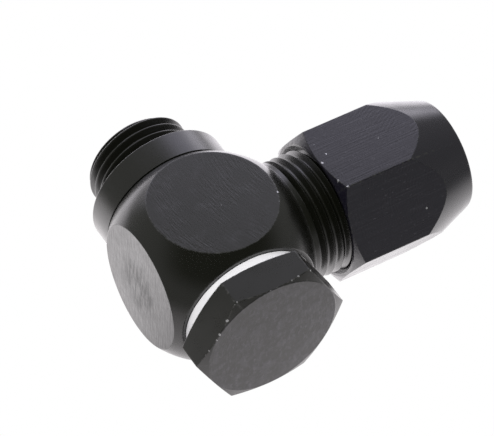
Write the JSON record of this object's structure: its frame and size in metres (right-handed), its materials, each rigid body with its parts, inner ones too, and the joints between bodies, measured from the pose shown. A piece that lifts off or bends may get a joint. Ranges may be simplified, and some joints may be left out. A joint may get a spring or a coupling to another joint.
{
  "type": "swivel elbow compression fitting",
  "caption": "Swivel elbow hose fitting: a ball-shaped elbow turns on a hollow hexagon bolt that screws into a port, and a long coned nut clamps the hose over a barbed tail.",
  "frame": {"origin": "centre of the collar's seating face, where the port thread starts", "axes": "+Y along the port thread into the port, +X along the hose axis towards the hose, +Z normal to both; the elbow lies on its lower flat, which faces -Z"},
  "size_m": [0.0661, 0.0504, 0.0306],
  "materials": {
    "black_anodised": "black anodised, satin, turned and milled",
    "white_plastic": "smooth white nylon",
    "seal_rubber": "matt black nitrile rubber",
    "black_plastic": "black acetal, slight sheen"
  },
  "bodies": {
    "stem": {"banjo_bolt": "black_anodised", "head_washer": "white_plastic", "spacer_collar": "black_anodised", "body_seal": "seal_rubber", "port_seal": "seal_rubber"},
    "elbow": {"swivel_body": "black_anodised"},
    "clamp": {"clamp_ring": "black_plastic"},
    "nut": {"compression_nut": "black_anodised"}
  },
  "joints": [
    {"name": "swivel", "type": "hinge", "parent": "stem", "child": "elbow", "pos_m": [0, -0.01955, 0], "axis": [0, 1, 0], "continuous": true},
    {"name": "nut_travel", "type": "slide", "parent": "elbow", "child": "clamp", "axis": [1, 0, 0], "range_m": [-0.0035, 0.007]},
    {"name": "nut_turn", "type": "hinge", "parent": "clamp", "child": "nut", "pos_m": [0.03, -0.01955, 0], "axis": [1, 0, 0], "range_deg": [-720, 1440]}
  ],
  "couplings": [
    {"joint": "nut_travel", "follows": "nut_turn", "m_per_rad": 0.00027852}
  ]
}
